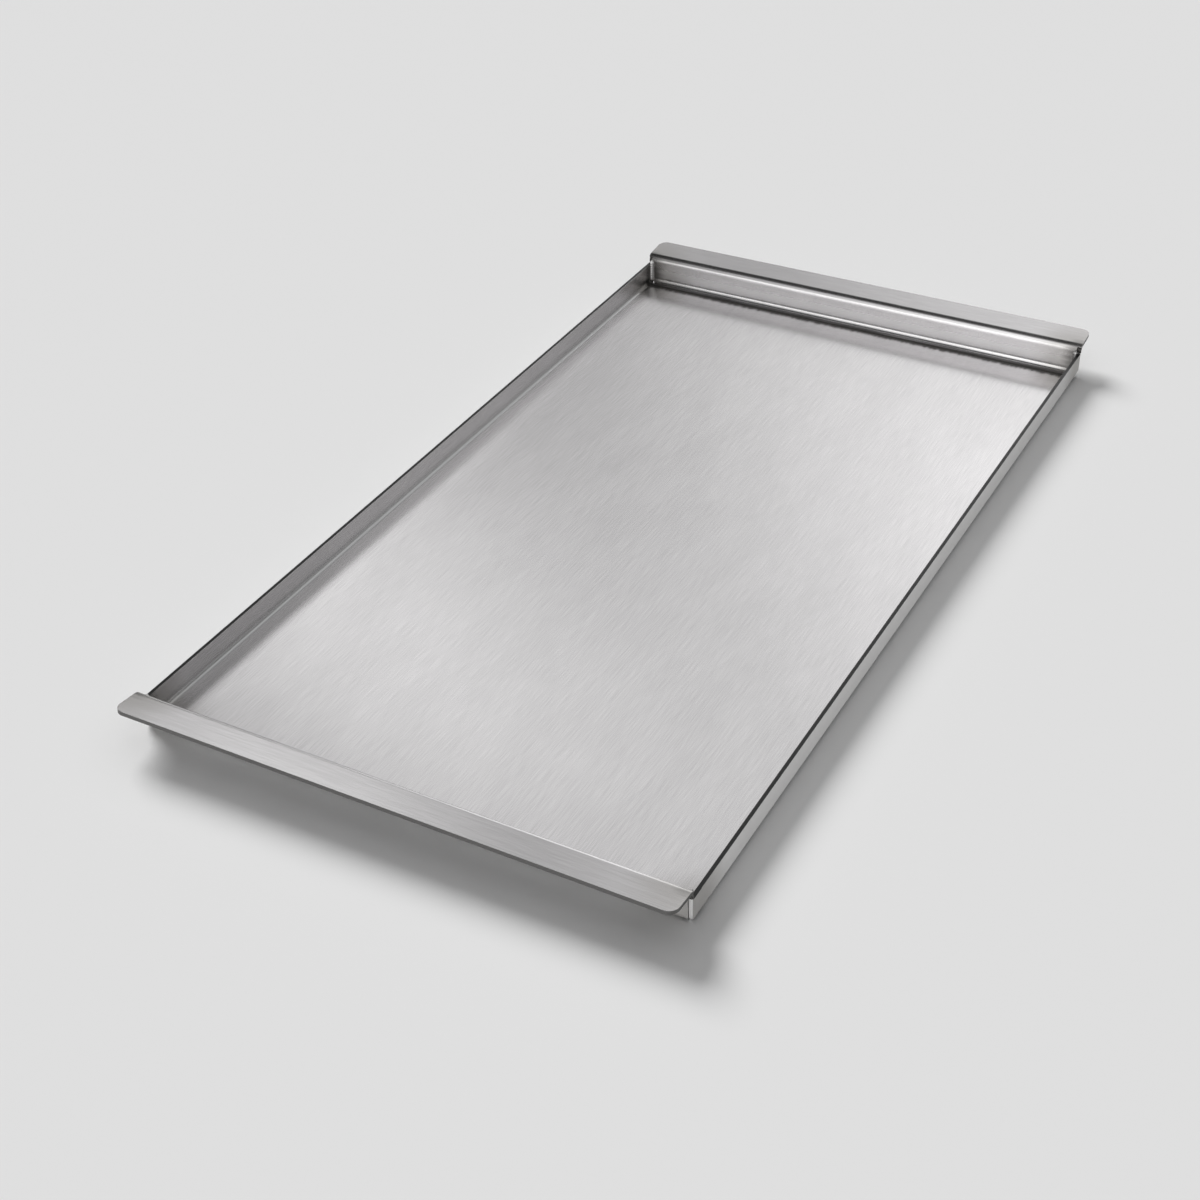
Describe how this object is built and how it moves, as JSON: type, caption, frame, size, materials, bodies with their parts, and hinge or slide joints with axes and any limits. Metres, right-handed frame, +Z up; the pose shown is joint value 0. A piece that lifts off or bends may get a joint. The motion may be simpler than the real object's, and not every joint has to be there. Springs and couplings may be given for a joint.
{
  "type": "baking plate",
  "caption": "Shallow rectangular baking plate in brushed steel sheet, folded up along its long sides, with taller end walls that fold outwards into handle flanges.",
  "frame": {"origin": "centre of the underside, on the surface that the plate stands on", "axes": "+X across the plate, +Y along its length towards the rear flange, +Z up out of the tray"},
  "size_m": [0.28, 0.5336, 0.021],
  "materials": {
    "pan_sheet": "brushed lengthways",
    "end_sheet": "brushed across the plate",
    "weld": "dressed weld metal"
  },
  "bodies": {
    "root": {"base_pan": "pan_sheet", "front_end_panel": "end_sheet", "rear_end_panel": "end_sheet", "front_floor_weld": "weld", "rear_floor_weld": "weld", "front_left_corner_weld": "weld", "front_right_corner_weld": "weld", "rear_left_corner_weld": "weld", "rear_right_corner_weld": "weld"}
  },
  "joints": []
}
